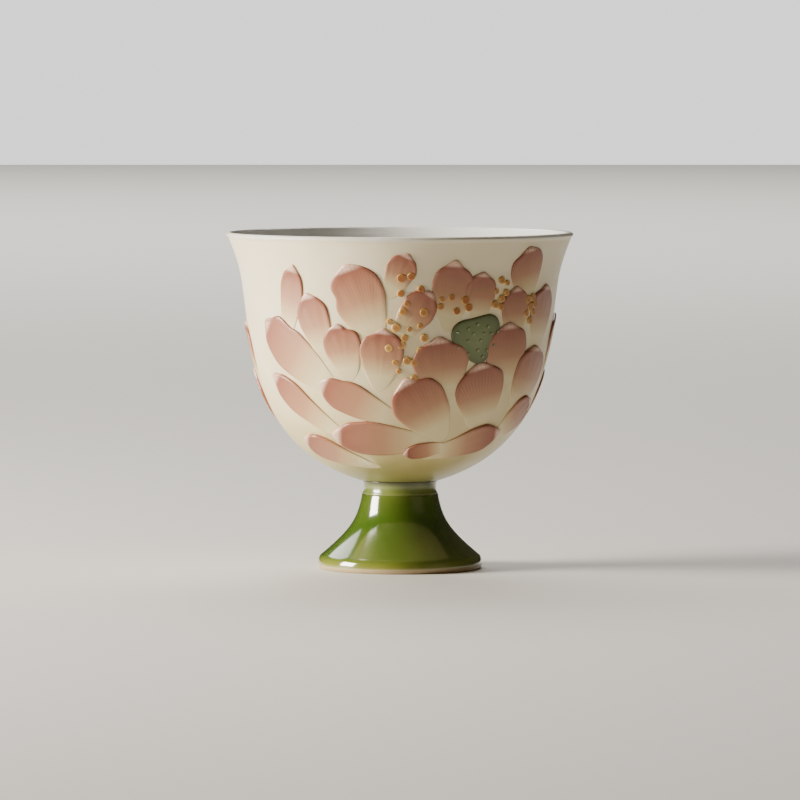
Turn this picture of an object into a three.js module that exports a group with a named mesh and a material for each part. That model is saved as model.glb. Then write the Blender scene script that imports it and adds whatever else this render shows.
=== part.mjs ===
// Footed porcelain tea cup with a low lotus relief, in millimetres, +Z up.
// The origin is on the table, under the middle of the foot, and the front of the cup faces -Y.
import * as THREE from 'three';
import { mergeVertices } from 'three/addons/utils/BufferGeometryUtils.js';

// Overall sizes
const CUP_HEIGHT = 68;
const RIM_RADIUS = 35;
const ROUND_STEPS = 48;

// Foot and collar
const FOOT_HEIGHT = 15.1;
const FOOT_RADIUS = 16.7;
const FOOT_EDGE = 1.6;
const FOOT_CONTACT_RADIUS = 16.1;
const FOOT_RING_WIDTH = 2.6;
const FOOT_WALL = 2.6;
const FOOT_ROOF = 3.2;
const COLLAR_HEIGHT = 2.8;
const COLLAR_RADIUS = 7.7;
const COLLAR_WAIST = 0.25;

// Bowl
const NECK_RADIUS = 8.1;
const WALL_AT_NECK = 2.6;
const WALL_AT_RIM = 1.3;
const BOWL_FLOOR = 3.2;
const BELLY_RADIUS = 30.9;
const BELLY_RISE = 32.2;
const BOWL_STEPS = 24;

// Relief of petals and seed pod
const SLIP_FILM = 0.1;
const PETAL_CROWN = 0.3;
const PETAL_EDGE = 0.2;
const LAYER_PITCH = PETAL_CROWN + SLIP_FILM;
const LAYER_MARGIN = 0.35;
const PETAL_ANGLES = 18;
const TIP_NIB = 0.12;
const TIP_SPREAD = 0.25;
const SHOULDER = 0.18;
const BACK_STAGGER = 0.016;

const bowlBase = FOOT_HEIGHT + COLLAR_HEIGHT;
const bellyHeight = bowlBase + BELLY_RISE;
const degrees = THREE.MathUtils.degToRad;

// Outer line of the bowl: a round belly from the neck, then a steep wall that flares at the lip
const rimFlare = RIM_RADIUS - BELLY_RADIUS;
const bowlSide = new THREE.CurvePath();
bowlSide.add(new THREE.CubicBezierCurve(
  new THREE.Vector2(NECK_RADIUS, bowlBase),
  new THREE.Vector2(BELLY_RADIUS - 8.8, bowlBase + 4.5),
  new THREE.Vector2(BELLY_RADIUS - 2.5, bellyHeight - 18.7),
  new THREE.Vector2(BELLY_RADIUS, bellyHeight)));
bowlSide.add(new THREE.CubicBezierCurve(
  new THREE.Vector2(BELLY_RADIUS, bellyHeight),
  new THREE.Vector2(BELLY_RADIUS + rimFlare * 0.3, bellyHeight + 9.5),
  new THREE.Vector2(BELLY_RADIUS + rimFlare * 0.22, CUP_HEIGHT - 8),
  new THREE.Vector2(RIM_RADIUS, CUP_HEIGHT)));
const sideLength = bowlSide.getLength();

// Point on the bowl's outside, at a length along its side from the neck and a height off the glaze
function wallPoint(along, offset) {
  const share = THREE.MathUtils.clamp(along / sideLength, 0, 1);
  const place = bowlSide.getPoint(share);
  const run = bowlSide.getTangent(share);
  return new THREE.Vector2(place.x + run.y * offset, place.y - run.x * offset);
}

// Length along the side at which the outside reaches a height
function alongAtHeight(height) {
  let low = 0;
  let high = sideLength;
  for (let step = 0; step < 40; step += 1) {
    const middle = (low + high) / 2;
    if (wallPoint(middle, 0).y < height) low = middle;
    else high = middle;
  }
  return (low + high) / 2;
}

function glaze(name, color, roughness) {
  return new THREE.MeshStandardMaterial({ name, color, roughness, metalness: 0 });
}

function turned(name, profile, material) {
  const lathe = new THREE.LatheGeometry(profile, ROUND_STEPS);
  lathe.deleteAttribute('normal');
  lathe.deleteAttribute('uv');
  const geometry = mergeVertices(lathe, 1e-4);
  // Turning the lathe's Y axis up to Z puts its seam at the back of the cup
  geometry.rotateX(Math.PI / 2);
  geometry.computeVertexNormals();
  const mesh = new THREE.Mesh(geometry, material);
  mesh.name = name;
  return mesh;
}

function bowl() {
  const outside = [];
  const inside = [];
  for (let step = 0; step <= BOWL_STEPS; step += 1) {
    const along = (step / BOWL_STEPS) * sideLength;
    outside.push(wallPoint(along, 0));
    const wall = THREE.MathUtils.lerp(WALL_AT_NECK, WALL_AT_RIM, step / BOWL_STEPS);
    inside.push(wallPoint(along, -wall));
  }
  // The lip is rounded over half of the wall
  const lip = outside.pop();
  const innerLip = inside.pop();
  const half = WALL_AT_RIM / 2;
  const rounding = [
    new THREE.Vector2(lip.x, CUP_HEIGHT - half),
    new THREE.Vector2(lip.x - half * 0.3, CUP_HEIGHT - half * 0.3),
    new THREE.Vector2(lip.x - half, CUP_HEIGHT),
    new THREE.Vector2(lip.x - half * 1.7, CUP_HEIGHT - half * 0.3),
    new THREE.Vector2(innerLip.x - half * 0.1, CUP_HEIGHT - half * 1.2),
  ];
  const floorHeight = bowlBase + BOWL_FLOOR;
  const wallInside = inside.filter((point) => point.y > floorHeight + 0.4 && point.x > NECK_RADIUS).reverse();
  const profile = [new THREE.Vector2(0, bowlBase), ...outside, ...rounding, ...wallInside];
  profile.push(new THREE.Vector2(NECK_RADIUS * 0.6, floorHeight + 0.1));
  profile.push(new THREE.Vector2(0, floorHeight));
  return turned('bowl', profile, glaze('cream_glaze', 0xf3ead2, 0.38));
}

function neckCollar() {
  const profile = [
    new THREE.Vector2(0, FOOT_HEIGHT),
    new THREE.Vector2(COLLAR_RADIUS - 0.3, FOOT_HEIGHT),
    new THREE.Vector2(COLLAR_RADIUS, FOOT_HEIGHT + 0.35),
    new THREE.Vector2(COLLAR_RADIUS - COLLAR_WAIST, FOOT_HEIGHT + COLLAR_HEIGHT * 0.5),
    new THREE.Vector2(COLLAR_RADIUS, bowlBase - 0.35),
    new THREE.Vector2(COLLAR_RADIUS - 0.2, bowlBase),
    new THREE.Vector2(0, bowlBase),
  ];
  return turned('neck_collar', profile, glaze('collar_glaze', 0xa9b08a, 0.2));
}

function pedestalFoot() {
  const trumpet = new THREE.CubicBezierCurve(
    new THREE.Vector2(COLLAR_RADIUS, FOOT_HEIGHT),
    new THREE.Vector2(COLLAR_RADIUS + 1, FOOT_HEIGHT - 4.4),
    new THREE.Vector2(COLLAR_RADIUS + 1.1, FOOT_HEIGHT - 6.4),
    new THREE.Vector2(FOOT_RADIUS - 0.6, FOOT_EDGE + 1.1)).getPoints(12).reverse();
  const ringInside = FOOT_CONTACT_RADIUS - FOOT_RING_WIDTH;
  const hollow = new THREE.CubicBezierCurve(
    new THREE.Vector2(0, FOOT_HEIGHT - FOOT_ROOF),
    new THREE.Vector2(COLLAR_RADIUS - FOOT_WALL + 0.6, FOOT_HEIGHT - FOOT_ROOF),
    new THREE.Vector2(COLLAR_RADIUS - FOOT_WALL + 1.2, FOOT_HEIGHT - FOOT_ROOF - 4.6),
    new THREE.Vector2(ringInside, 0)).getPoints(9);
  const profile = [
    ...hollow,
    new THREE.Vector2(FOOT_CONTACT_RADIUS, 0),
    new THREE.Vector2(FOOT_RADIUS, FOOT_EDGE * 0.5),
    new THREE.Vector2(FOOT_RADIUS - 0.05, FOOT_EDGE),
    ...trumpet,
    new THREE.Vector2(0, FOOT_HEIGHT),
  ];
  return turned('pedestal_foot', profile, glaze('foot_glaze', 0x7e9a6a, 0.08));
}

// Each relief piece: name, place round the cup (degrees from the front), share of the wall's height at
// its middle, length, width, lean of its tip (degrees), and where and how deep a notch cuts its edge
const FRONT_PETALS = [
  ['petal_bud_left', -43, 0.76, 11.4, 5.3, 14, 0, 0],
  ['petal_pale_left', -33, 0.661, 10, 6.6, -15, 0, 0],
  ['petal_hand_left', -46, 0.541, 16, 9, -50, 70, 0.14],
  ['petal_upper_left', -15, 0.76, 12.4, 10, -20, -75, 0.16],
  ['petal_upper_middle', 0, 0.86, 7.2, 5.5, 25, 0, 0],
  ['petal_heart_left', -22, 0.561, 8.6, 7.2, -8, 20, 0.14],
  ['petal_heart_middle', -7, 0.531, 9.2, 8, 6, -30, 0.1],
  ['petal_among_stamens', 6, 0.701, 8.8, 6.2, 35, 0, 0],
  ['petal_top_back', 19, 0.79, 10.4, 7.7, 4, 25, 0.08],
  ['petal_top_back_right', 30, 0.77, 7.8, 6.4, 4, 0, 0],
  ['petal_top_right', 51, 0.86, 9, 8.6, -12, -35, 0.1],
  ['petal_upper_right', 47, 0.701, 8.4, 6.9, -6, 0, 0],
  ['petal_edge_right', 65, 0.691, 9.8, 8.8, 5, -20, 0.08],
  ['petal_front_right', 45, 0.531, 10.6, 10.2, -4, 0, 0],
  ['petal_low_edge_right', 63, 0.441, 10.8, 11, 6, 15, 0.09],
  ['petal_before_pod', 16, 0.491, 9.8, 10.4, -8, 30, 0.07],
  ['petal_low_right', 35, 0.381, 11, 10.2, -14, 0, 0],
  ['petal_low_middle', 9, 0.327, 11.8, 10, -32, 25, 0.08],
  ['petal_low_left', -20, 0.351, 13.4, 6.6, -62, 55, 0.12],
  ['petal_far_left', -47, 0.331, 15, 5.8, -46, 0, 0],
  ['petal_bottom_left', -12, 0.192, 15.8, 8, -82, 60, 0.1],
  ['petal_bottom_small', 13, 0.146, 7.2, 4, -100, 0, 0],
  ['petal_under_left', -42, 0.132, 11.4, 6.6, -55, 0, 0],
  ['petal_bottom_right', 39, 0.172, 12.4, 6.6, 66, 0, 0],
  ['petal_side_right', 65, 0.271, 8.6, 7.6, 42, 20, 0.08],
];

// The same flower goes on round the back, in full lower rows and a sparser upper one
const BACK_ROWS = [
  { name: 'petal_back_low', count: 5, from: 98, to: 262, share: 0.311, length: 12.4, width: 9, lean: 24 },
  { name: 'petal_back_middle', count: 6, from: 90, to: 270, share: 0.531, length: 11, width: 10, lean: 10 },
  { name: 'petal_back_high', count: 5, from: 104, to: 256, share: 0.75, length: 10, width: 7.8, lean: 14 },
];

const SEED_POD = { name: 'seed_pod', around: 30, share: 0.591, length: 10.4, width: 13, lean: -12 };

function frontPetal([name, around, share, length, width, lean, notchAt, notchDepth]) {
  return { name, around, share, length, width, lean, notchAt, notchDepth };
}

function backPetals(row) {
  const made = [];
  for (let index = 0; index < row.count; index += 1) {
    const turn = index / (row.count - 1);
    const side = index % 2 === 0 ? 1 : -1;
    made.push({
      name: `${row.name}_${index + 1}`,
      around: row.from + (row.to - row.from) * turn,
      share: row.share + side * BACK_STAGGER,
      length: row.length,
      width: row.width,
      lean: row.lean * side,
      notchAt: 30 * side,
      notchDepth: 0.07,
    });
  }
  return made;
}

// Edge of a petal in its own plane: u runs to the tip, v across
function petalEdge(piece, angle) {
  const turn = Math.atan2(Math.sin(angle - degrees(piece.notchAt)), Math.cos(angle - degrees(piece.notchAt)));
  const notch = 1 - piece.notchDepth * Math.exp(-((turn / 0.3) ** 2));
  const fromTip = Math.atan2(Math.sin(angle), Math.cos(angle));
  const nib = 1 + TIP_NIB * Math.exp(-((fromTip / TIP_SPREAD) ** 2));
  const u = (piece.length / 2) * Math.cos(angle) * notch * nib;
  const v = (piece.width / 2) * Math.sin(angle) * (1 + SHOULDER * Math.cos(angle)) * notch;
  return new THREE.Vector2(u, v);
}

// Edge of the seed pod: broad and flat on top, narrowing to its stalk
function podEdge(piece, angle) {
  const flat = 1 - 0.16 * Math.exp(-((Math.atan2(Math.sin(angle), Math.cos(angle)) / 0.5) ** 2));
  const u = (piece.length / 2) * Math.cos(angle) * flat;
  const v = (piece.width / 2) * Math.sin(angle) * (0.8 + 0.32 * Math.cos(angle));
  return new THREE.Vector2(u, v);
}

// Place of a piece's own (u, v) on the wall, as length along the side and angle round the cup
function layOnWall(piece, flat) {
  const lean = degrees(piece.lean);
  const along = piece.middle + flat.x * Math.cos(lean) - flat.y * Math.sin(lean);
  const sideways = flat.x * Math.sin(lean) + flat.y * Math.cos(lean);
  return { along, around: degrees(piece.around) + sideways / wallPoint(along, 0).x };
}

// Whether a place on the wall lies over a piece, by its oval with a margin
function coveredBy(piece, place) {
  let turn = place.around - degrees(piece.around);
  turn = Math.atan2(Math.sin(turn), Math.cos(turn));
  const rise = place.along - piece.middle;
  const sideways = turn * wallPoint(place.along, 0).x;
  const lean = degrees(piece.lean);
  const u = rise * Math.cos(lean) + sideways * Math.sin(lean);
  const v = sideways * Math.cos(lean) - rise * Math.sin(lean);
  const longHalf = (piece.length / 2) * (1 + TIP_NIB) + LAYER_MARGIN;
  const wideHalf = (piece.width / 2) * (1 + SHOULDER) + LAYER_MARGIN;
  return (u / longHalf) ** 2 + (v / wideHalf) ** 2 < 1;
}

function touches(first, second) {
  for (const reach of [0.5, 1]) {
    for (let step = 0; step < PETAL_ANGLES; step += 1) {
      const angle = (step / PETAL_ANGLES) * Math.PI * 2;
      const edge = petalEdge({ notchAt: 0, notchDepth: 0, ...first }, angle).multiplyScalar(reach);
      if (coveredBy(second, layOnWall(first, edge))) return true;
    }
  }
  return coveredBy(second, layOnWall(first, new THREE.Vector2(0, 0)));
}

// Pieces that cross lie in layers, one pressed on the film of slip over the other
function chooseLayers(pieces) {
  const placed = [];
  for (const drawn of pieces) {
    const middle = alongAtHeight(THREE.MathUtils.lerp(bowlBase, CUP_HEIGHT, drawn.share));
    const piece = { ...drawn, middle };
    const taken = placed.filter((other) => touches(piece, other) || touches(other, piece));
    let layer = 0;
    while (taken.some((other) => other.layer === layer)) layer += 1;
    placed.push({ ...piece, layer });
  }
  return placed;
}

function reliefMesh(piece, edge, material) {
  const positions = [];
  const faces = [];
  const base = SLIP_FILM + piece.layer * LAYER_PITCH;
  const rings = [0.52, 1];
  for (const top of [false, true]) {
    const place = (flat, rise) => {
      const spot = layOnWall(piece, flat);
      const wall = wallPoint(spot.along, base + (top ? rise : 0));
      positions.push(wall.x * Math.sin(spot.around), -wall.x * Math.cos(spot.around), wall.y);
    };
    place(new THREE.Vector2(0, 0), PETAL_CROWN);
    for (const reach of rings) {
      const rise = THREE.MathUtils.lerp(PETAL_CROWN, PETAL_EDGE, reach ** 2);
      for (let step = 0; step < PETAL_ANGLES; step += 1) {
        place(edge(piece, (step / PETAL_ANGLES) * Math.PI * 2).multiplyScalar(reach), rise);
      }
    }
  }
  const sheet = 1 + rings.length * PETAL_ANGLES;
  const outer = 1 + (rings.length - 1) * PETAL_ANGLES;
  for (let step = 0; step < PETAL_ANGLES; step += 1) {
    const next = (step + 1) % PETAL_ANGLES;
    const [a, b] = [1 + step, 1 + next];
    const [c, d] = [outer + step, outer + next];
    const [e, f] = [sheet + outer + step, sheet + outer + next];
    faces.push(0, a, b, a, c, b, b, c, d);
    faces.push(sheet, sheet + b, sheet + a, sheet + a, sheet + b, sheet + c, sheet + b, sheet + d, sheet + c);
    faces.push(c, e, d, d, e, f);
  }
  const geometry = new THREE.BufferGeometry();
  geometry.setAttribute('position', new THREE.Float32BufferAttribute(positions, 3));
  geometry.setIndex(faces);
  geometry.computeVertexNormals();
  const mesh = new THREE.Mesh(geometry, material);
  mesh.name = piece.name;
  return mesh;
}

const cup = new THREE.Group();
cup.add(pedestalFoot());
cup.add(neckCollar());
cup.add(bowl());

const petals = [...FRONT_PETALS.map(frontPetal), ...BACK_ROWS.flatMap(backPetals)];
const petalGlaze = glaze('petal_glaze', 0xd08a78, 0.4);
const podGlaze = glaze('pod_glaze', 0x8f9a4a, 0.4);
for (const piece of chooseLayers([SEED_POD, ...petals])) {
  const isPod = piece.name === SEED_POD.name;
  cup.add(reliefMesh(piece, isPod ? podEdge : petalEdge, isPod ? podGlaze : petalGlaze));
}

export default cup;
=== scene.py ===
# %% [markdown]
# This lesson dresses a small footed tea cup in porcelain glaze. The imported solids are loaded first
# and stay where they are. Each one is then replaced by a finer piece of the same form, because a
# glaze shows every facet that a working solid may have. Only the petals' bases run further than in
# the solids, so that they go on under their neighbours.

# %% Load the frame
import math
import random

import bpy
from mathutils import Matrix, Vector


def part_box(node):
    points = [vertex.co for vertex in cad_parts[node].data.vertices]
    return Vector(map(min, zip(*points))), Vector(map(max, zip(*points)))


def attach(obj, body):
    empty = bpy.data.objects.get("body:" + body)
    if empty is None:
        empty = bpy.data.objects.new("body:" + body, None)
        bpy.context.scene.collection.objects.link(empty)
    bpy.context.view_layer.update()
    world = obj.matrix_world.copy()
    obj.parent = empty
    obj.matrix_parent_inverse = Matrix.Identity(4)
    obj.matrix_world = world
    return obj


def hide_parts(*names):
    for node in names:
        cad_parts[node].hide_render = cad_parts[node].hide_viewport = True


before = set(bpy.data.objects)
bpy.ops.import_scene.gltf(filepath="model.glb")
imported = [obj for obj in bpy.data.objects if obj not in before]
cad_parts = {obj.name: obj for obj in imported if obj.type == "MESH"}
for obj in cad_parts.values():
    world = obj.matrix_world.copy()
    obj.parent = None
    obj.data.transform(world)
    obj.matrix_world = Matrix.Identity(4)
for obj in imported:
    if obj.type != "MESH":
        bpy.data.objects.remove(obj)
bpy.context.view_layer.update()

MM = 0.001
BODY = "root"
bpy.ops.object.select_all(action="DESELECT")
print("solids loaded:", len(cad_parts))

# %% [markdown]
# The cup is round, so its sizes are a few radii and heights. The outer ones are read from the
# loaded solids, so the fine pieces can't drift away from them. Walls and curves, which a box can't
# give, are written as real sizes.

# %% Main sizes
bowl_low, bowl_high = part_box("bowl")
_, collar_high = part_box("neck_collar")
_, foot_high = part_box("pedestal_foot")
RIM_RADIUS = bowl_high[0]
CUP_HEIGHT = bowl_high[2]
BOWL_BASE = bowl_low[2]
FOOT_HEIGHT = foot_high[2]
FOOT_RADIUS = foot_high[0]
COLLAR_RADIUS = collar_high[0]
NECK_RADIUS = 8.1 * MM
BELLY_RADIUS = 30.9 * MM
BELLY_HEIGHT = BOWL_BASE + 32.2 * MM
WALL_AT_NECK = 2.6 * MM
WALL_AT_RIM = 1.3 * MM
BOWL_FLOOR = 3.2 * MM
print("rim radius", round(RIM_RADIUS / MM, 2), "mm, height", round(CUP_HEIGHT / MM, 2), "mm")


def bezier(points, share):
    """A point on a cubic curve of four (radius, height) pairs."""
    rest = 1 - share
    weights = (rest ** 3, 3 * rest ** 2 * share, 3 * rest * share ** 2, share ** 3)
    radius = sum(weight * point[0] for weight, point in zip(weights, points))
    height = sum(weight * point[1] for weight, point in zip(weights, points))
    return Vector((radius, height))


# %% [markdown]
# The bowl's outside is two curves that meet at the belly. Everything laid on the bowl needs a place
# on that line by its length from the neck, so the line is measured once and then looked up.

# %% The bowl's side
flare = RIM_RADIUS - BELLY_RADIUS
BELLY_CURVE = (
    (NECK_RADIUS, BOWL_BASE),
    (BELLY_RADIUS - 8.8 * MM, BOWL_BASE + 4.5 * MM),
    (BELLY_RADIUS - 2.5 * MM, BELLY_HEIGHT - 18.7 * MM),
    (BELLY_RADIUS, BELLY_HEIGHT))
LIP_CURVE = (
    (BELLY_RADIUS, BELLY_HEIGHT),
    (BELLY_RADIUS + flare * 0.3, BELLY_HEIGHT + 9.5 * MM),
    (BELLY_RADIUS + flare * 0.22, CUP_HEIGHT - 8 * MM),
    (RIM_RADIUS, CUP_HEIGHT))
CURVE_STEPS = 160
side = [bezier(BELLY_CURVE, step / CURVE_STEPS) for step in range(CURVE_STEPS)]
side += [bezier(LIP_CURVE, step / CURVE_STEPS) for step in range(CURVE_STEPS + 1)]
lengths = [0.0]
for before, after in zip(side, side[1:]):
    lengths.append(lengths[-1] + (after - before).length)
SIDE_LENGTH = lengths[-1]
print("length of the bowl's side", round(SIDE_LENGTH / MM, 2), "mm")


def on_side(along, offset=0.0):
    """(radius, height) at a length along the side, moved out from the wall by offset."""
    along = min(max(along, 0.0), SIDE_LENGTH)
    low, high = 0, len(lengths) - 1
    while high - low > 1:
        middle = (low + high) // 2
        if lengths[middle] <= along:
            low = middle
        else:
            high = middle
    run = side[high] - side[low]
    share = (along - lengths[low]) / (lengths[high] - lengths[low])
    place = side[low] + run * share
    run.normalize()
    return Vector((place.x + run.y * offset, place.y - run.x * offset))


def along_at(height):
    """Length along the side at which the outside reaches a height."""
    for place, length in zip(side, lengths):
        if place.y >= height:
            return length
    return SIDE_LENGTH


# %% [markdown]
# Turned clay comes from a wheel, and Blender's Spin is that wheel: a line of points is swept once
# round the Z axis. The line comes from curves, so its points are handed over in code. Its first and
# last points lie on the axis, so merging by distance closes the poles, and the normals are made to
# face outwards once the doubles are gone.

# %% A helper that spins a line into clay
SPIN_STEPS = 192
MERGE_DISTANCE = 0.002 * MM


def turned(name, line, node):
    """A closed round piece from (radius, height) points, in place of a solid."""
    mesh = bpy.data.meshes.new(name)
    points = [(point[0], 0.0, point[1]) for point in line]
    mesh.from_pydata(points, [(index, index + 1) for index in range(len(points) - 1)], [])
    piece = bpy.data.objects.new(name, mesh)
    bpy.context.collection.objects.link(piece)
    bpy.context.view_layer.objects.active = piece
    piece.select_set(True)
    bpy.ops.object.mode_set(mode="EDIT")
    bpy.ops.mesh.select_all(action="SELECT")
    bpy.ops.mesh.spin(steps=SPIN_STEPS, angle=math.tau, center=(0, 0, 0), axis=(0, 0, 1))
    bpy.ops.mesh.select_all(action="SELECT")
    bpy.ops.mesh.remove_doubles(threshold=MERGE_DISTANCE)
    bpy.ops.mesh.normals_make_consistent(inside=False)
    bpy.ops.object.mode_set(mode="OBJECT")
    bpy.ops.object.shade_smooth()
    piece.select_set(False)
    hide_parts(node)
    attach(piece, BODY)
    print(name, "faces:", len(piece.data.polygons))
    return piece


print("steps round the cup:", SPIN_STEPS)

# %% [markdown]
# The bowl is one line: out along the belly, round the lip, and back down inside. The wall thins
# from the neck to the lip, as thrown porcelain does. A Solidify modifier could make the wall too,
# but of one thickness all over, so the inside is a stretch of the line instead.

# %% Bowl
BOWL_STEPS = 120
LIP_STEPS = 8
LIP_ROOM = 1.6
FLOOR_CLEAR = 0.3 * MM
FLOOR_DISH = 0.2 * MM
outside = [on_side(SIDE_LENGTH * step / BOWL_STEPS) for step in range(BOWL_STEPS)]
inside = []
for step in range(BOWL_STEPS, -1, -1):
    share = step / BOWL_STEPS
    thick = WALL_AT_NECK + (WALL_AT_RIM - WALL_AT_NECK) * share
    inside.append(on_side(SIDE_LENGTH * share, -thick))
lip_half = WALL_AT_RIM / 2
outside = [point for point in outside if point.y < CUP_HEIGHT - lip_half]
lip_centre = Vector((RIM_RADIUS - lip_half, CUP_HEIGHT - lip_half))
lip = []
for step in range(LIP_STEPS + 1):
    turn = math.pi * step / LIP_STEPS
    lip.append(lip_centre + Vector((math.cos(turn), math.sin(turn))) * lip_half)
floor_height = BOWL_BASE + BOWL_FLOOR
inner_low = floor_height + FLOOR_CLEAR
inner_high = CUP_HEIGHT - LIP_ROOM * lip_half
inside = [point for point in inside if inner_low < point.y < inner_high and point.x > NECK_RADIUS]
dish = [Vector((NECK_RADIUS * share, floor_height + FLOOR_DISH * share ** 2)) for share in (0.8, 0.4, 0)]
bowl_line = [Vector((0, BOWL_BASE))] + outside + lip + inside + dish
bowl = turned("bowl_glazed", bowl_line, "bowl")

# %% [markdown]
# The collar is the strip of clay that joins bowl and foot. It is drawn in at its middle, with a
# fine ridge above and below where the glaze breaks thin. A cylinder with bevels would look cut, so
# a formula bends the line softly.

# %% Collar
COLLAR_STEPS = 16
COLLAR_WAIST = 0.25 * MM
COLLAR_INSET = 0.15 * MM
RIDGE = 0.12 * MM
RIDGE_SPREAD = 0.05
RIDGE_PLACES = (0.08, 0.92)
collar_line = [Vector((0, FOOT_HEIGHT))]
for step in range(COLLAR_STEPS + 1):
    share = step / COLLAR_STEPS
    waist = COLLAR_WAIST * math.sin(math.pi * share)
    ridge = RIDGE * sum(math.exp(-((share - place) / RIDGE_SPREAD) ** 2) for place in RIDGE_PLACES)
    height = FOOT_HEIGHT + (BOWL_BASE - FOOT_HEIGHT) * share
    collar_line.append(Vector((COLLAR_RADIUS - COLLAR_INSET - waist + ridge, height)))
collar_line.append(Vector((0, BOWL_BASE)))
collar = turned("collar_glazed", collar_line, "neck_collar")

# %% [markdown]
# The foot is a hollow trumpet. Three curves make its line: the hollow under it, the rounded edge
# that stands on the table, and the sweep up to the collar. A cone could be a start, but no stretch
# of the sweep is straight, so curves come closer with fewer numbers.

# %% Foot
CONTACT_RADIUS = 16.1 * MM
RING_INSIDE = CONTACT_RADIUS - 2.6 * MM
ROOF = FOOT_HEIGHT - 3.2 * MM
HOLLOW = (
    (0, ROOF),
    (COLLAR_RADIUS - 2 * MM, ROOF),
    (COLLAR_RADIUS - 1.4 * MM, ROOF - 4.6 * MM),
    (RING_INSIDE, 0))
EDGE_TOP = (FOOT_RADIUS - 0.6 * MM, 2.7 * MM)
EDGE = (
    (CONTACT_RADIUS, 0),
    (FOOT_RADIUS + 0.12 * MM, 0.15 * MM),
    (FOOT_RADIUS + 0.1 * MM, 1.9 * MM),
    EDGE_TOP)
TRUMPET = (
    EDGE_TOP,
    (COLLAR_RADIUS + 1.1 * MM, FOOT_HEIGHT - 6.4 * MM),
    (COLLAR_RADIUS + 1 * MM, FOOT_HEIGHT - 4.4 * MM),
    (COLLAR_RADIUS, FOOT_HEIGHT))
HOLLOW_STEPS = 40
EDGE_STEPS = 16
TRUMPET_STEPS = 60
foot_line = [bezier(HOLLOW, step / HOLLOW_STEPS) for step in range(HOLLOW_STEPS + 1)]
foot_line += [bezier(EDGE, step / EDGE_STEPS) for step in range(EDGE_STEPS)]
foot_line += [bezier(TRUMPET, step / TRUMPET_STEPS) for step in range(TRUMPET_STEPS + 1)]
foot_line.append(Vector((0, FOOT_HEIGHT)))
foot = turned("foot_glazed", foot_line, "pedestal_foot")

# %% [markdown]
# A petal is a pad of clay with a rounded edge. A sphere is the right start: its equator becomes the
# petal's outline, its upper half the face and its lower half the back, which goes into the wall.
# Each petal's place is taken in length along the side and angle round the cup. Two UV maps go with
# it: "leaf" runs from base to tip and across, and "rim" holds the distance from the middle and a
# number of the piece's own, its phase, which also keeps the ripples of two petals apart.

# %% Helper for relief pieces
SINK = 0.35 * MM
SINK_ROUND = 0.3
EDGE_ROUND = 0.42
EQUATOR_HALF = 1e-6
SMOOTH_SEGMENTS = 72
SMOOTH_RINGS = 30


def wrap(angle):
    """The same angle between minus and plus half a turn."""
    return math.atan2(math.sin(angle), math.cos(angle))


def lay(piece, u, v, offset):
    """A place on the wall from a piece's own u, towards its tip, and v, across it."""
    lean = math.radians(piece["lean"])
    along = along_at(piece["height"]) + u * math.cos(lean) - v * math.sin(lean)
    sideways = u * math.sin(lean) + v * math.cos(lean)
    around = math.radians(piece["around"]) + sideways / on_side(along).x
    wall = on_side(along, offset)
    return Vector((wall.x * math.sin(around), -wall.x * math.cos(around), wall.y))


def relief(name, piece, outline, face, node, segments=SMOOTH_SEGMENTS, rings=SMOOTH_RINGS):
    """A closed pad on the wall, with its outline and the height of its face from two functions."""
    bpy.ops.mesh.primitive_uv_sphere_add(segments=segments, ring_count=rings, radius=1)
    made = bpy.context.object
    made.name = name
    mesh = made.data
    for map_name in ("leaf", "rim"):
        mesh.uv_layers.new(name=map_name)
    leaf_map = mesh.uv_layers["leaf"]
    rim_map = mesh.uv_layers["rim"]
    spots = []
    for vertex in mesh.vertices:
        reach = min(1.0, math.hypot(vertex.co.x, vertex.co.y))
        angle = math.atan2(vertex.co.y, vertex.co.x)
        full_u, full_v = outline(piece, angle)
        u, v = full_u * reach, full_v * reach
        if vertex.co.z >= -EQUATOR_HALF:
            soft = min(1.0, vertex.co.z / EDGE_ROUND)
            rise = face(piece, u, v, reach) * math.sqrt(max(0.0, soft * (2 - soft)))
        else:
            rise = -SINK * min(1.0, -vertex.co.z / SINK_ROUND)
        spots.append((u / piece["length"] + 0.5, v / piece["width"] + 0.5, reach))
        vertex.co = lay(piece, u, v, rise)
    for loop in mesh.loops:
        u, v, reach = spots[loop.vertex_index]
        leaf_map.data[loop.index].uv = (u, v)
        rim_map.data[loop.index].uv = (reach, piece["phase"] % 1.0)
    if mesh.uv_layers.get("UVMap"):
        mesh.uv_layers.remove(mesh.uv_layers["UVMap"])
    bpy.ops.object.mode_set(mode="EDIT")
    bpy.ops.mesh.select_all(action="SELECT")
    bpy.ops.mesh.normals_make_consistent(inside=False)
    bpy.ops.object.mode_set(mode="OBJECT")
    bpy.ops.object.shade_smooth()
    made.select_set(False)
    if node:
        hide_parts(node)
    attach(made, BODY)
    return made


print("faces of a smooth relief piece:", SMOOTH_SEGMENTS * SMOOTH_RINGS)

# %% [markdown]
# A petal's outline is an oval with wide shoulders, a small nib at the tip, one soft notch and a
# base that runs on under its neighbours. Its face rises from nothing at the base to a cupped rim,
# with fine folds that fan out, so light finds them as well as colour.

# %% The form of a petal
BASE_STRETCH = 0.62
GROWTH = 1.04
FULLNESS = 1.1
SHOULDER = 0.18
NIB = 0.12
NIB_SPREAD = 0.25
NOTCH_SPREAD = 0.3
WIDE_RIPPLE = 0.012
WIDE_WAVES = 5
FINE_RIPPLE = 0.008
FINE_WAVES = 9
CROWN = 0.28 * MM
CROWN_AT_BASE = 0.02 * MM
CUP = 0.08 * MM
CUP_PLACE = 0.86
CUP_SPREAD = 0.1
FOLD = 0.022 * MM
FOLD_COUNT = 30
FAN_CENTRE = 0.85
BASE_SHARE = 0.75


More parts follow.
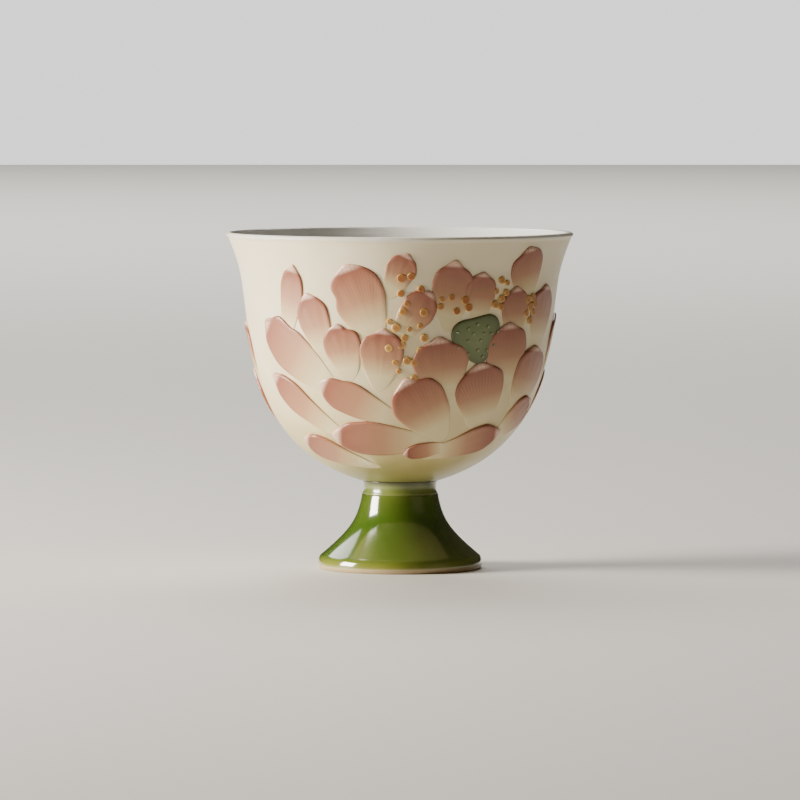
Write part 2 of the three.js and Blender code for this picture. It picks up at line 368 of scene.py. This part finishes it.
def petal_outline(piece, angle):
    from_notch = wrap(angle - math.radians(piece["notch_at"])) / NOTCH_SPREAD
    notch = 1 - piece["notch"] * math.exp(-(from_notch ** 2))
    nib = 1 + NIB * math.exp(-((wrap(angle) / NIB_SPREAD) ** 2))
    wide = WIDE_RIPPLE * math.sin(WIDE_WAVES * angle + piece["phase"])
    fine = FINE_RIPPLE * math.sin(FINE_WAVES * angle + 2 * piece["phase"])
    ripple = 1 + wide + fine
    root = 1 + BASE_STRETCH * max(0.0, -math.cos(angle))
    u = piece["length"] / 2 * math.cos(angle) * notch * nib * ripple * root
    v = piece["width"] / 2 * math.sin(angle) * (FULLNESS + SHOULDER * math.cos(angle)) * notch * ripple
    return u * GROWTH, v


def petal_face(piece, u, v, reach):
    tip = min(1.0, max(0.0, (u / piece["length"] + BASE_SHARE) / (BASE_SHARE + 0.5)))
    crown = CROWN_AT_BASE + CROWN * tip + piece["lift"] * tip
    cup = CUP * tip * math.exp(-(((reach - CUP_PLACE) / CUP_SPREAD) ** 2))
    fan = math.atan2(v, u + piece["length"] * FAN_CENTRE)
    folds = FOLD * tip * math.cos(fan * FOLD_COUNT + piece["phase"]) * (1 - reach ** 4)
    return crown + cup + folds


print("a petal's raised rim:", round((CROWN_AT_BASE + CROWN + CUP) / MM, 2), "mm and its own lift")

# %% [markdown]
# Each row of the next list is one petal of the front: place round the cup in degrees, share of the
# wall's height at its middle, length and width in millimetres, lean of the tip in degrees, and the
# place and depth of its notch. They are set one by one, as sprigs are pressed on by hand.

# %% Petals of the front
PETALS = [
    ("petal_bud_left", -43, 0.76, 11.4, 5.3, 14, 0, 0),
    ("petal_pale_left", -33, 0.661, 10, 6.6, -15, 0, 0),
    ("petal_hand_left", -46, 0.541, 16, 9, -50, 70, 0.14),
    ("petal_upper_left", -15, 0.76, 12.4, 10, -20, -75, 0.16),
    ("petal_upper_middle", 0, 0.86, 7.2, 5.5, 25, 0, 0),
    ("petal_heart_left", -22, 0.561, 8.6, 7.2, -8, 20, 0.14),
    ("petal_heart_middle", -7, 0.531, 9.2, 8, 6, -30, 0.1),
    ("petal_among_stamens", 6, 0.701, 8.8, 6.2, 35, 0, 0),
    ("petal_top_back", 19, 0.79, 10.4, 7.7, 4, 25, 0.08),
    ("petal_top_back_right", 30, 0.77, 7.8, 6.4, 4, 0, 0),
    ("petal_top_right", 51, 0.86, 9, 8.6, -12, -35, 0.1),
    ("petal_upper_right", 47, 0.701, 8.4, 6.9, -6, 0, 0),
    ("petal_edge_right", 65, 0.691, 9.8, 8.8, 5, -20, 0.08),
    ("petal_front_right", 45, 0.531, 10.6, 10.2, -4, 0, 0),
    ("petal_low_edge_right", 63, 0.441, 10.8, 11, 6, 15, 0.09),
    ("petal_before_pod", 16, 0.491, 9.8, 10.4, -8, 30, 0.07),
    ("petal_low_right", 35, 0.381, 11, 10.2, -14, 0, 0),
    ("petal_low_middle", 9, 0.327, 11.8, 10, -32, 25, 0.08),
    ("petal_low_left", -20, 0.351, 13.4, 6.6, -62, 55, 0.12),
    ("petal_far_left", -47, 0.331, 15, 5.8, -46, 0, 0),
    ("petal_bottom_left", -12, 0.192, 15.8, 8, -82, 60, 0.1),
    ("petal_bottom_small", 13, 0.146, 7.2, 4, -100, 0, 0),
    ("petal_under_left", -42, 0.132, 11.4, 6.6, -55, 0, 0),
    ("petal_bottom_right", 39, 0.172, 12.4, 6.6, 66, 0, 0),
    ("petal_side_right", 65, 0.271, 8.6, 7.6, 42, 20, 0.08),
]
print("petals of the front:", len(PETALS))

# %% [markdown]
# The petals of the back are alike, so each of its three rows is made by a loop. Every second petal
# leans the other way and sits a little lower, which keeps a row from looking stamped.

# %% Petals of the back
# Name, count, first and last place in degrees, share of height, length, width and lean
BACK_ROWS = [
    ("petal_back_low", 5, 98, 262, 0.311, 12.4, 9, 24),
    ("petal_back_middle", 6, 90, 270, 0.531, 11, 10, 10),
    ("petal_back_high", 5, 104, 256, 0.75, 10, 7.8, 14),
]
BACK_STAGGER = 0.016
BACK_NOTCH_AT = 30
BACK_NOTCH = 0.07
for row, count, first, last, share, length, width, lean in BACK_ROWS:
    for index in range(count):
        hand = 1 if index % 2 == 0 else -1
        around = first + (last - first) * index / (count - 1)
        PETALS.append((f"{row}_{index + 1}", around, share + BACK_STAGGER * hand, length, width,
                       lean * hand, BACK_NOTCH_AT * hand, BACK_NOTCH))
print("petals in all:", len(PETALS))

# %% [markdown]
# Now the petals are laid on the wall. Lower ones stand a little further out, so that they pass in
# front of the higher ones, and a small step between neighbours keeps two faces from meeting.

# %% Petals on the wall
LIFT_FROM = 0.88
LIFT = 0.6 * MM
LIFT_STEP = 0.02 * MM
PHASE_START = 0.4
PHASE_STEP = 1.7
petals = []
for index, (node, around, share, length, width, lean, notch_at, notch) in enumerate(PETALS):
    piece = {
        "around": around,
        "height": BOWL_BASE + (CUP_HEIGHT - BOWL_BASE) * share,
        "length": length * MM,
        "width": width * MM,
        "lean": lean,
        "notch_at": notch_at,
        "notch": notch,
        "phase": PHASE_STEP * index + PHASE_START,
        "lift": (LIFT_FROM - share) * LIFT + LIFT_STEP * (index % 3)}
    petals.append(relief(node + "_glazed", piece, petal_outline, petal_face, node))
print("petals laid:", len(petals))

# %% [markdown]
# The seed pod is a flat-topped pad of the same kind, which narrows towards its stalk. Its outline
# is pressed in at the top and tapers below, and its face falls only slightly towards the edge.

# %% Seed pod
POD_HEIGHT = 47.5 * MM
POD_CROWN = 0.55 * MM
POD_FALL = 0.12 * MM
POD_TOP = 0.16
POD_TOP_SPREAD = 0.5
POD_FULLNESS = 0.8
POD_TAPER = 0.32


def pod_outline(piece, angle):
    flat = 1 - POD_TOP * math.exp(-((wrap(angle) / POD_TOP_SPREAD) ** 2))
    u = piece["length"] / 2 * math.cos(angle) * flat
    v = piece["width"] / 2 * math.sin(angle) * (POD_FULLNESS + POD_TAPER * math.cos(angle))
    return u, v


def pod_face(piece, u, v, reach):
    return POD_CROWN - POD_FALL * reach ** 2 + piece["lift"]


POD = {"around": 30, "height": POD_HEIGHT, "length": 10.4 * MM, "width": 13 * MM, "lean": -12,
       "phase": 0.3, "lift": -0.08 * MM}
pod = relief("seed_pod_glazed", POD, pod_outline, pod_face, "seed_pod")
print("pod faces:", len(pod.data.polygons))

# %% [markdown]
# Seeds and stamens are small flat-topped beads by the dozen, each a relief piece with few faces.
# Particles could scatter them, but a seeded random draw keeps the beads of a group apart and gives
# the same ones every run.

# %% Helpers for small beads
BEAD_RISE = 0.22 * MM
BEAD_SEGMENTS = 14
BEAD_RINGS = 10
TRIES = 4000
draw = random.Random(11)


def bead_outline(piece, angle):
    return piece["length"] / 2 * math.cos(angle), piece["width"] / 2 * math.sin(angle)


def bead_face(piece, u, v, reach):
    return piece["lift"] + BEAD_RISE


def spread(count, gap, reach_u, reach_v):
    """Places in an oval, no two closer than gap. Every try draws, also once there are enough."""
    places = []
    for _ in range(TRIES):
        u = draw.uniform(-1, 1)
        v = draw.uniform(-1, 1)
        if u * u + v * v > 1 or len(places) >= count:
            continue
        spot = Vector((u * reach_u, v * reach_v))
        if all((spot - other).length > gap for other in places):
            places.append(spot)
    return places


def beads(places, radii, lift):
    """One bead at each place, with a radius drawn between the two given."""
    made = []
    for around, height in places:
        size = 2 * draw.uniform(*radii)
        piece = {"around": around, "height": height, "length": size, "width": size, "lean": 0,
                 "phase": draw.uniform(0, 1), "lift": lift}
        made.append(relief("bead", piece, bead_outline, bead_face, None,
                           BEAD_SEGMENTS, BEAD_RINGS))
    return made


def joined(name, parts):
    """Many small pieces as one."""
    bpy.ops.object.select_all(action="DESELECT")
    for part in parts:
        part.select_set(True)
    bpy.context.view_layer.objects.active = parts[0]
    bpy.ops.object.join()
    whole = bpy.context.object
    whole.name = name
    whole.select_set(False)
    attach(whole, BODY)
    print(name, "faces:", len(whole.data.polygons))
    return whole


print("faces of a bead:", BEAD_SEGMENTS * BEAD_RINGS)

# %% [markdown]
# The seeds belong to the pod, so their places are counted from its middle, in an oval that keeps off
# its edge. Two petals pass in front of the pod's lower sides, and a few seeds show through them.

# %% Seeds
SEED_COUNT = 16
SEED_GAP = 1.5 * MM
SEED_RADII = (0.26 * MM, 0.38 * MM)
SEED_LIFT = 0.4 * MM
SEEDS_ALONG = 0.34
SEEDS_ACROSS = 0.38
pod_wall = on_side(along_at(POD_HEIGHT)).x
seed_places = []
for spot in spread(SEED_COUNT, SEED_GAP, POD["length"] * SEEDS_ALONG, POD["width"] * SEEDS_ACROSS):
    seed_places.append((POD["around"] + math.degrees(spot.y / pod_wall), POD_HEIGHT + spot.x))
seeds = joined("pod_seeds", beads(seed_places, SEED_RADII, SEED_LIFT))

# %% [markdown]
# The stamens are beads of ochre enamel, dropped on with a brush. They stand in four groups: a tall
# one left of the pod, and three small ones above and right of it.

# %% Stamens
# Place round the cup in degrees, then height, tallness and width in millimetres, and count
STAMEN_GROUPS = [
    (2.5, 50, 23, 8, 22),
    (19, 54.5, 3.5, 9, 6),
    (39, 56.5, 6.5, 3.6, 7),
    (55.5, 53.2, 5.5, 3.4, 7),
]
STAMEN_GAP = 1.5 * MM
STAMEN_RADII = (0.5 * MM, 0.95 * MM)
STAMEN_LIFT = 0.22 * MM
stamen_places = []
for around, height, tall, wide, count in STAMEN_GROUPS:
    radius = on_side(along_at(height * MM)).x
    for spot in spread(count, STAMEN_GAP, tall / 2 * MM, wide / 2 * MM):
        stamen_places.append((around + math.degrees(spot.y / radius), height * MM + spot.x))
stamens = joined("stamen_beads", beads(stamen_places, STAMEN_RADII, STAMEN_LIFT))

# %% [markdown]
# Glaze is a colour under glass, so every finish here has a colour that drifts a little, and a
# roughness that tells satin from gloss. One node group gives that drift to all of them.

# %% Shared drift of colour
CLOUD_SCALE = 90
CLOUD_LOW = 0.35
CLOUD_HIGH = 0.75
SKIN_SCALE = 900


def glaze_drift():
    group = bpy.data.node_groups.new("glaze_drift", "ShaderNodeTree")
    interface = group.interface
    interface.new_socket("Vector", in_out="INPUT", socket_type="NodeSocketVector")
    interface.new_socket("Color", in_out="INPUT", socket_type="NodeSocketColor")
    interface.new_socket("Drift", in_out="INPUT", socket_type="NodeSocketColor")
    interface.new_socket("Color", in_out="OUTPUT", socket_type="NodeSocketColor")
    interface.new_socket("Height", in_out="OUTPUT", socket_type="NodeSocketFloat")
    start = group.nodes.new("NodeGroupInput")
    end = group.nodes.new("NodeGroupOutput")
    clouds = group.nodes.new("ShaderNodeTexNoise")
    clouds.inputs["Scale"].default_value = CLOUD_SCALE
    clouds.inputs["Detail"].default_value = 5
    skin = group.nodes.new("ShaderNodeTexNoise")
    skin.inputs["Scale"].default_value = SKIN_SCALE
    skin.inputs["Detail"].default_value = 3
    soften = group.nodes.new("ShaderNodeMapRange")
    soften.inputs["From Min"].default_value = CLOUD_LOW
    soften.inputs["From Max"].default_value = CLOUD_HIGH
    mix = group.nodes.new("ShaderNodeMix")
    mix.data_type = "RGBA"
    link = group.links.new
    link(start.outputs["Vector"], clouds.inputs["Vector"])
    link(start.outputs["Vector"], skin.inputs["Vector"])
    link(clouds.outputs["Fac"], soften.inputs["Value"])
    link(soften.outputs["Result"], mix.inputs["Factor"])
    link(start.outputs["Color"], mix.inputs["A"])
    link(start.outputs["Drift"], mix.inputs["B"])
    link(mix.outputs["Result"], end.inputs["Color"])
    link(skin.outputs["Fac"], end.inputs["Height"])
    return group


DRIFT = glaze_drift()
print("node group:", DRIFT.name)

# %% [markdown]
# The materials share a few steps: start one, run a colour ramp along a value, mix two colours,
# measure the height on the cup, and end with the drift. Each is a small helper.

# %% Helpers for materials
COAT_ROUGHNESS = 0.12
SKIN_DEPTH = 0.05 * MM


def new_material(name, roughness, coat):
    material = bpy.data.materials.new(name)
    material.use_nodes = True
    nodes = material.node_tree.nodes
    shader = nodes["Principled BSDF"]
    shader.inputs["Roughness"].default_value = roughness
    shader.inputs["Coat Weight"].default_value = coat
    shader.inputs["Coat Roughness"].default_value = COAT_ROUGHNESS
    return material, nodes, material.node_tree.links.new, shader


def ramp(nodes, link, source, stops):
    """Colours along a value from 0 to 1."""
    node = nodes.new("ShaderNodeValToRGB")
    while len(node.color_ramp.elements) < len(stops):
        node.color_ramp.elements.new(0.5)
    for element, (place, color) in zip(node.color_ramp.elements, stops):
        element.position = place
        element.color = (*color, 1)
    link(source, node.inputs["Fac"])
    return node.outputs["Color"]


def mask_ramp(nodes, link, source, stops):
    """Greys along a value from 0 to 1."""
    return ramp(nodes, link, source, [(place, (grey, grey, grey)) for place, grey in stops])


def painted(nodes, link, under, over, mask):
    """A plain colour laid over another where the mask is bright."""
    node = nodes.new("ShaderNodeMix")
    node.data_type = "RGBA"
    node.inputs["B"].default_value = (*over, 1)
    link(mask, node.inputs["Factor"])
    link(under, node.inputs["A"])
    return node.outputs["Result"]


def math_step(nodes, link, operation, first, second):
    """One sum on a value, with a number or another value."""
    node = nodes.new("ShaderNodeMath")
    node.operation = operation
    link(first, node.inputs[0])
    if isinstance(second, (int, float)):
        node.inputs[1].default_value = second
    else:
        link(second, node.inputs[1])
    return node.outputs["Value"]


def uv_parts(nodes, link, name):
    """The two directions of one of the piece's UV maps."""
    place = nodes.new("ShaderNodeUVMap")
    place.uv_map = name
    split = nodes.new("ShaderNodeSeparateXYZ")
    link(place.outputs["UV"], split.inputs["Vector"])
    return split.outputs["X"], split.outputs["Y"]


def height_value(nodes, link, low, high):
    """0 to 1 between two heights on the cup."""
    place = nodes.new("ShaderNodeTexCoord")
    split = nodes.new("ShaderNodeSeparateXYZ")
    span = nodes.new("ShaderNodeMapRange")
    span.inputs["From Min"].default_value = low
    span.inputs["From Max"].default_value = high
    link(place.outputs["Object"], split.inputs["Vector"])
    link(split.outputs["Z"], span.inputs["Value"])
    return span.outputs["Result"]


def drift(nodes, link, shader, color, drifted, bump):
    """Ends a glaze: its colour drifts towards another, and its skin is never quite flat."""
    place = nodes.new("ShaderNodeTexCoord")
    group = nodes.new("ShaderNodeGroup")
    group.node_tree = DRIFT
    link(place.outputs["Object"], group.inputs["Vector"])
    link(color, group.inputs["Color"])
    link(drifted, group.inputs["Drift"])
    link(group.outputs["Color"], shader.inputs["Base Color"])
    skin = nodes.new("ShaderNodeBump")
    skin.inputs["Strength"].default_value = bump
    skin.inputs["Distance"].default_value = SKIN_DEPTH
    link(group.outputs["Height"], skin.inputs["Height"])
    link(skin.outputs["Normal"], shader.inputs["Normal"])


print("depth of a glaze's skin", round(SKIN_DEPTH / MM, 2), "mm")

# %% [markdown]
# The bowl's glaze is a cream satin. It turns greener and yellower where it pools at the neck, and
# pale where it runs thin over the lip. Its darkest olive, in the last few millimetres above the
# collar, is painted shade of the crease there. The inside is a plain greyish white, so that the tea's
# colour shows true, and it goes on the faces that look towards the axis or up from the floor; it is
# painted greyer towards the floor, as painted shade in the hollow. A painted image could hold the
# same fades, but a ramp over the height needs none and has no pixels.

# %% Bowl glazes
material, nodes, link, shader = new_material("cream_satin_glaze", 0.34, 0.12)
rise = height_value(nodes, link, BOWL_BASE, CUP_HEIGHT)
# The bottom stops, darkest at the neck, are partly glaze pooling and partly painted shade of the crease
# above the collar.
cream = ramp(nodes, link, rise, [
    (0.0, (0.28, 0.27, 0.07)), (0.07, (0.56, 0.47, 0.19)), (0.22, (0.76, 0.64, 0.36)),
    (0.5, (0.84, 0.74, 0.50)), (0.978, (0.84, 0.75, 0.53)), (0.988, (0.80, 0.79, 0.74))])
warm = ramp(nodes, link, rise, [
    (0.0, (0.26, 0.24, 0.06)), (0.3, (0.72, 0.58, 0.30)), (1.0, (0.80, 0.69, 0.45))])
drift(nodes, link, shader, cream, warm, 0.12)
bowl.data.materials.append(material)

material, nodes, link, shader = new_material("inner_white_glaze", 0.2, 0.5)
rise = height_value(nodes, link, BOWL_BASE, CUP_HEIGHT)
# Both ramps grow greyer towards the floor: painted shade in the cup's hollow.
white = ramp(nodes, link, rise, [(0.0, (0.66, 0.66, 0.60)), (1.0, (0.80, 0.80, 0.77))])
shade = ramp(nodes, link, rise, [(0.0, (0.62, 0.62, 0.56)), (1.0, (0.76, 0.76, 0.72))])
drift(nodes, link, shader, white, shade, 0.08)
bowl.data.materials.append(material)
INNER_SLOT = 1
FACES_UP = 0.5
inner_faces = 0
for face in bowl.data.polygons:
    inward = face.normal.x * face.center.x + face.normal.y * face.center.y < 0
    on_floor = face.normal.z > FACES_UP and face.center.z < CUP_HEIGHT / 2
    if inward or on_floor:
        face.material_index = INNER_SLOT
        inner_faces += 1
print("faces with the inner glaze:", inner_faces)

# %% [markdown]
# The collar's olive glaze is palest low down, where it thins over its ridge. At the top, in the
# crease under the bowl, it is painted nearly black, a painted shadow of the bowl.

# %% Collar glaze
material, nodes, link, shader = new_material("collar_olive_glaze", 0.2, 0.5)
rise = height_value(nodes, link, FOOT_HEIGHT, BOWL_BASE)
# Both ramps darken towards the top; the near-black last stop is a painted shadow in the crease under the
# bowl.
olive = ramp(nodes, link, rise, [
    (0.0, (0.26, 0.27, 0.08)), (0.12, (0.13, 0.17, 0.03)), (0.6, (0.19, 0.22, 0.06)),
    (0.95, (0.03, 0.03, 0.01))])
dark = ramp(nodes, link, rise, [(0.0, (0.09, 0.13, 0.03)), (1.0, (0.06, 0.07, 0.02))])
drift(nodes, link, shader, olive, dark, 0.1)
collar.data.materials.append(material)
print("finished:", material.name)

# %% [markdown]
# The foot is the glossiest piece: a deep green glaze under a clear coat, yellower where it thins
# near the edge. The last millimetre stays bare, so it is buff clay and rough.

# %% Foot glaze
material, nodes, link, shader = new_material("foot_green_glaze", 0.1, 1.0)
rise = height_value(nodes, link, 0, FOOT_HEIGHT)
green = ramp(nodes, link, rise, [
    (0.0, (0.42, 0.30, 0.15)), (0.055, (0.44, 0.33, 0.16)), (0.07, (0.24, 0.24, 0.04)),
    (0.2, (0.060, 0.115, 0.010)), (0.6, (0.036, 0.085, 0.006)), (1.0, (0.085, 0.115, 0.015))])
pool = ramp(nodes, link, rise, [
    (0.0, (0.38, 0.27, 0.13)), (0.055, (0.40, 0.29, 0.14)), (0.08, (0.12, 0.15, 0.02)),
    (1.0, (0.025, 0.06, 0.004))])
drift(nodes, link, shader, green, pool, 0.06)
bare = mask_ramp(nodes, link, rise, [(0.05, 0.7), (0.075, 0.1)])
link(bare, shader.inputs["Roughness"])
foot.data.materials.append(material)
print("finished:", material.name)

# %% [markdown]
# A petal fades from cream at its base to dusty pink at its tip. Fine veins fan out from the base,
# a thin darker line runs inside the edge, and the very tip is painted pale, a painted highlight where
# light catches the raised nib. Veins and line die away towards the base, where the petal sinks into
# the wall.

# %% Petal glaze
VEIN_COLOR = (0.27, 0.075, 0.045)
LINE_COLOR = (0.25, 0.075, 0.045)
VEIN_ROOT = 0.25
VEIN_RUN = 0.08
VEIN_SCALE = 4.2
VEIN_WANDER = 2.2
material, nodes, link, shader = new_material("petal_pink_glaze", 0.36, 0.15)
to_tip, across = uv_parts(nodes, link, "leaf")
from_middle, _ = uv_parts(nodes, link, "rim")
# The last stop, pale at the very tip, is a painted highlight.
pink = ramp(nodes, link, to_tip, [
    (0.0, (0.74, 0.62, 0.35)), (0.15, (0.64, 0.46, 0.24)), (0.42, (0.46, 0.23, 0.12)),
    (0.93, (0.28, 0.085, 0.045)), (1.0, (0.78, 0.52, 0.38))])
off_middle = math_step(nodes, link, "SUBTRACT", across, 0.5)
from_root = math_step(nodes, link, "ADD", to_tip, VEIN_ROOT)
fan_place = nodes.new("ShaderNodeCombineXYZ")
link(math_step(nodes, link, "DIVIDE", off_middle, from_root), fan_place.inputs["X"])
link(math_step(nodes, link, "MULTIPLY", to_tip, VEIN_RUN), fan_place.inputs["Y"])
veins = nodes.new("ShaderNodeTexWave")
veins.inputs["Scale"].default_value = VEIN_SCALE
veins.inputs["Distortion"].default_value = VEIN_WANDER
veins.inputs["Detail"].default_value = 2
link(fan_place.outputs["Vector"], veins.inputs["Vector"])
vein_mask = mask_ramp(nodes, link, veins.outputs["Fac"], [(0.0, 0.55), (0.28, 0.0)])
line_mask = mask_ramp(nodes, link, from_middle, [(0.86, 0.0), (0.93, 0.6), (0.97, 0.2), (1.0, 0.7)])
outward = mask_ramp(nodes, link, to_tip, [(0.12, 0.0), (0.6, 1.0)])
faded_veins = math_step(nodes, link, "MULTIPLY", vein_mask, outward)
faded_line = math_step(nodes, link, "MULTIPLY", line_mask, outward)
veined = painted(nodes, link, pink, VEIN_COLOR, faded_veins)
lined = painted(nodes, link, veined, LINE_COLOR, faded_line)
drift(nodes, link, shader, lined, pink, 0.12)
for petal in petals:
    petal.data.materials.append(material)
print("petals finished:", len(petals))

# %% [markdown]
# The pod is green with paler seeds, and the stamens are ochre with a yellow skirt where the enamel
# runs thin. The pod and each bead read the distance from their own middle, in the second UV map.

# %% Pod, seeds and stamens
BEAD_COAT = 0.3
BEAD_BUMP = 0.15


def bead_material(name, stops, drifted, roughness):
    """Colours from the middle out, which drift towards another at the middle only."""
    made, own_nodes, own_link, own_shader = new_material(name, roughness, BEAD_COAT)
    reach, _ = uv_parts(own_nodes, own_link, "rim")
    color = ramp(own_nodes, own_link, reach, stops)
    second = ramp(own_nodes, own_link, reach, [(0.0, drifted), (1.0, stops[-1][1])])
    drift(own_nodes, own_link, own_shader, color, second, BEAD_BUMP)
    return made


pod.data.materials.append(bead_material("pod_green_glaze", [
    (0.0, (0.15, 0.20, 0.07)), (0.8, (0.12, 0.17, 0.05)), (1.0, (0.07, 0.08, 0.02))],
    (0.24, 0.27, 0.11), 0.34))
seeds.data.materials.append(bead_material("seed_pale_glaze", [
    (0.0, (0.32, 0.34, 0.17)), (0.75, (0.22, 0.25, 0.11)), (1.0, (0.08, 0.10, 0.03))],
    (0.36, 0.36, 0.18), 0.3))
stamens.data.materials.append(bead_material("stamen_ochre_enamel", [
    (0.0, (0.30, 0.075, 0.002)), (0.8, (0.36, 0.11, 0.004)), (0.93, (0.54, 0.26, 0.02)),
    (1.0, (0.70, 0.46, 0.12))],
    (0.42, 0.15, 0.006), 0.36))
print("materials:", len(bpy.data.materials))

# %% [markdown]
# The studio is plain: a pale floor with a pale wall far behind it. The wall is only what the camera
# sees past the floor. The light of the room itself is dim and warm, so that the lamps do the work.

# %% Floor and room
FLOOR_SIZE = 8
bpy.ops.mesh.primitive_plane_add(size=FLOOR_SIZE, location=(0, 0, 0))
floor = bpy.context.object
floor.name = "studio_floor"
floor_material = bpy.data.materials.new("pale_floor")
floor_material.use_nodes = True
floor_shader = floor_material.node_tree.nodes["Principled BSDF"]
floor_shader.inputs["Base Color"].default_value = (0.78, 0.76, 0.72, 1)
floor_shader.inputs["Roughness"].default_value = 0.6
floor.data.materials.append(floor_material)

world = bpy.context.scene.world or bpy.data.worlds.new("studio")
bpy.context.scene.world = world
world.use_nodes = True
world_nodes = world.node_tree.nodes
world_link = world.node_tree.links.new
room = world_nodes["Background"]
room.inputs["Color"].default_value = (0.80, 0.66, 0.50, 1)
room.inputs["Strength"].default_value = 0.05
wall = world_nodes.new("ShaderNodeBackground")
wall.inputs["Color"].default_value = (0.95, 0.94, 0.92, 1)
wall.inputs["Strength"].default_value = 1.5
seen = world_nodes.new("ShaderNodeLightPath")
choice = world_nodes.new("ShaderNodeMixShader")
world_link(seen.outputs["Is Camera Ray"], choice.inputs["Fac"])
world_link(room.outputs["Background"], choice.inputs[1])
world_link(wall.outputs["Background"], choice.inputs[2])
world_link(choice.outputs["Shader"], world_nodes["World Output"].inputs["Surface"])
print("floor size:", FLOOR_SIZE, "m")

# %% [markdown]
# One soft light from the left models the belly. A faint one above and a weak warm fill on the right
# keep the shade from going black. The fourth hangs over the floor far behind the cup, which keeps
# the floor pale up to the horizon.

# %% Lights


def softbox(name, place, target, size, watts, color):
    light = bpy.data.lights.new(name, "AREA")
    light.size = size
    light.energy = watts
    light.color = color
    lamp = bpy.data.objects.new(name, light)
    bpy.context.collection.objects.link(lamp)
    lamp.location = place
    lamp.rotation_euler = (Vector(target) - Vector(place)).to_track_quat("-Z", "Y").to_euler()
    print(name, watts, "W")


MIDDLE = (0, 0, CUP_HEIGHT / 2)
# Name, place, what it looks at, size in metres, watts and colour
softbox("key_left", (-0.73, -0.12, 0.22), MIDDLE, 0.30, 20, (1, 0.94, 0.84))
softbox("top_soft", (-0.30, 0.15, 0.8), MIDDLE, 0.5, 0.5, (1, 0.97, 0.93))
softbox("fill_right", (0.7, -0.5, 0.2), MIDDLE, 0.5, 0.12, (1, 0.76, 0.52))
softbox("floor_far", (-0.5, 2.3, 1.7), (-0.5, 2.5, 0), 2.6, 95, (1, 0.98, 0.95))

# %% [markdown]
# The camera stands a little above the rim and well back, as the narrow ellipses of rim and foot
# tell. Its lens follows from that distance and the width of the view at the cup.

# %% Camera
DISTANCE = 1.25
CAMERA_HEIGHT = 0.107
SENSOR = 36
VIEW_WIDTH = 0.1614
camera_data = bpy.data.cameras.new("camera")
camera_data.sensor_width = SENSOR
camera_data.lens = SENSOR * DISTANCE / VIEW_WIDTH
camera = bpy.data.objects.new("camera", camera_data)
bpy.context.collection.objects.link(camera)
camera.location = (0, -DISTANCE, CAMERA_HEIGHT)
camera.rotation_euler = (Vector(MIDDLE) - camera.location).to_track_quat("-Z", "Y").to_euler()
bpy.context.scene.camera = camera
print("camera lens", round(camera_data.lens, 1), "mm")

# %% The end
print("scene built")
